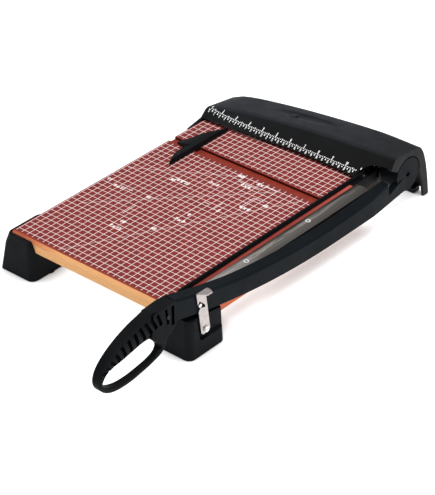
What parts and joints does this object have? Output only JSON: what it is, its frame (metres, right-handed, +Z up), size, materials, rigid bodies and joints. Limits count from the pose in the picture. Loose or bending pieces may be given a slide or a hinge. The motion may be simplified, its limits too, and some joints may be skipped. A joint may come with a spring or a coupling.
{
  "type": "guillotine paper cutter",
  "caption": "Desk guillotine paper cutter: gridded wooden board on moulded feet, moulded head, bowed blade arm with ribbed loop handle, latch and sliding fence.",
  "frame": {"origin": "on the surface that the cutter stands on, under the middle of its whole outline", "axes": "+X to the blade's side, +Y from the user's edge to the head with the pivot, +Z up"},
  "size_m": [0.3546, 0.675, 0.1052],
  "materials": {
    "painted_board": "dark red paint with a pale printed grid",
    "stained_wood": "orange-red stain",
    "ground_steel": "ground and brushed",
    "black_plastic": "fine satin texture",
    "painted_arm": "cast, painted satin black",
    "plated_steel": "zinc plated",
    "bracket_steel": "zinc plated",
    "latch_steel": "bright nickel plate",
    "pad_rubber": "matte"
  },
  "bodies": {
    "base": {"board": "painted_board", "edge_rail": "stained_wood", "bed_plate": "ground_steel", "guard_rail": "black_plastic", "left_front_foot": "black_plastic", "right_front_foot": "black_plastic", "head_housing": "black_plastic", "foot_pad_1": "pad_rubber", "foot_pad_2": "pad_rubber", "foot_pad_3": "pad_rubber", "foot_pad_4": "pad_rubber", "rear_pad_1": "pad_rubber", "rear_pad_2": "pad_rubber", "bed_plate_screw_1": "plated_steel", "bed_plate_screw_2": "plated_steel", "bed_plate_screw_3": "plated_steel", "guard_screw_1": "plated_steel", "guard_screw_2": "plated_steel", "rail_screw_1": "plated_steel", "rail_screw_2": "plated_steel", "foot_screw_1": "plated_steel", "foot_screw_2": "plated_steel", "foot_screw_3": "plated_steel", "foot_screw_4": "plated_steel", "head_screw_1": "plated_steel", "head_screw_2": "plated_steel", "head_screw_3": "plated_steel", "pivot_bracket": "bracket_steel", "bracket_screw_1": "plated_steel", "bracket_screw_2": "plated_steel", "pivot_bolt": "plated_steel", "pivot_washer": "plated_steel", "pivot_spring": "plated_steel", "pivot_nut": "plated_steel", "latch_washer": "plated_steel", "latch_screw": "plated_steel"},
    "lever": {"arm": "painted_arm", "blade": "ground_steel", "blade_screw_1": "plated_steel", "blade_screw_2": "plated_steel", "blade_screw_3": "plated_steel", "blade_screw_4": "plated_steel", "handle": "black_plastic", "handle_screw": "plated_steel", "latch_pin": "plated_steel"},
    "latch": {"latch_strap": "latch_steel"},
    "fence": {"fence": "black_plastic", "fence_runner": "black_plastic", "fence_screw_1": "plated_steel", "fence_screw_2": "plated_steel"}
  },
  "joints": [
    {"name": "lever_hinge", "type": "hinge", "parent": "base", "child": "lever", "pos_m": [0.14065, 0.28776, 0.054], "axis": [-1, 0, 0], "range_deg": [0, 40]},
    {"name": "latch_hinge", "type": "hinge", "parent": "base", "child": "latch", "pos_m": [0.16665, -0.14954, 0.0349], "axis": [-1, 0, 0], "range_deg": [0, 30]},
    {"name": "fence_slide", "type": "slide", "parent": "base", "child": "fence", "axis": [1, 0, 0], "range_m": [-0.015, 0.2]}
  ]
}
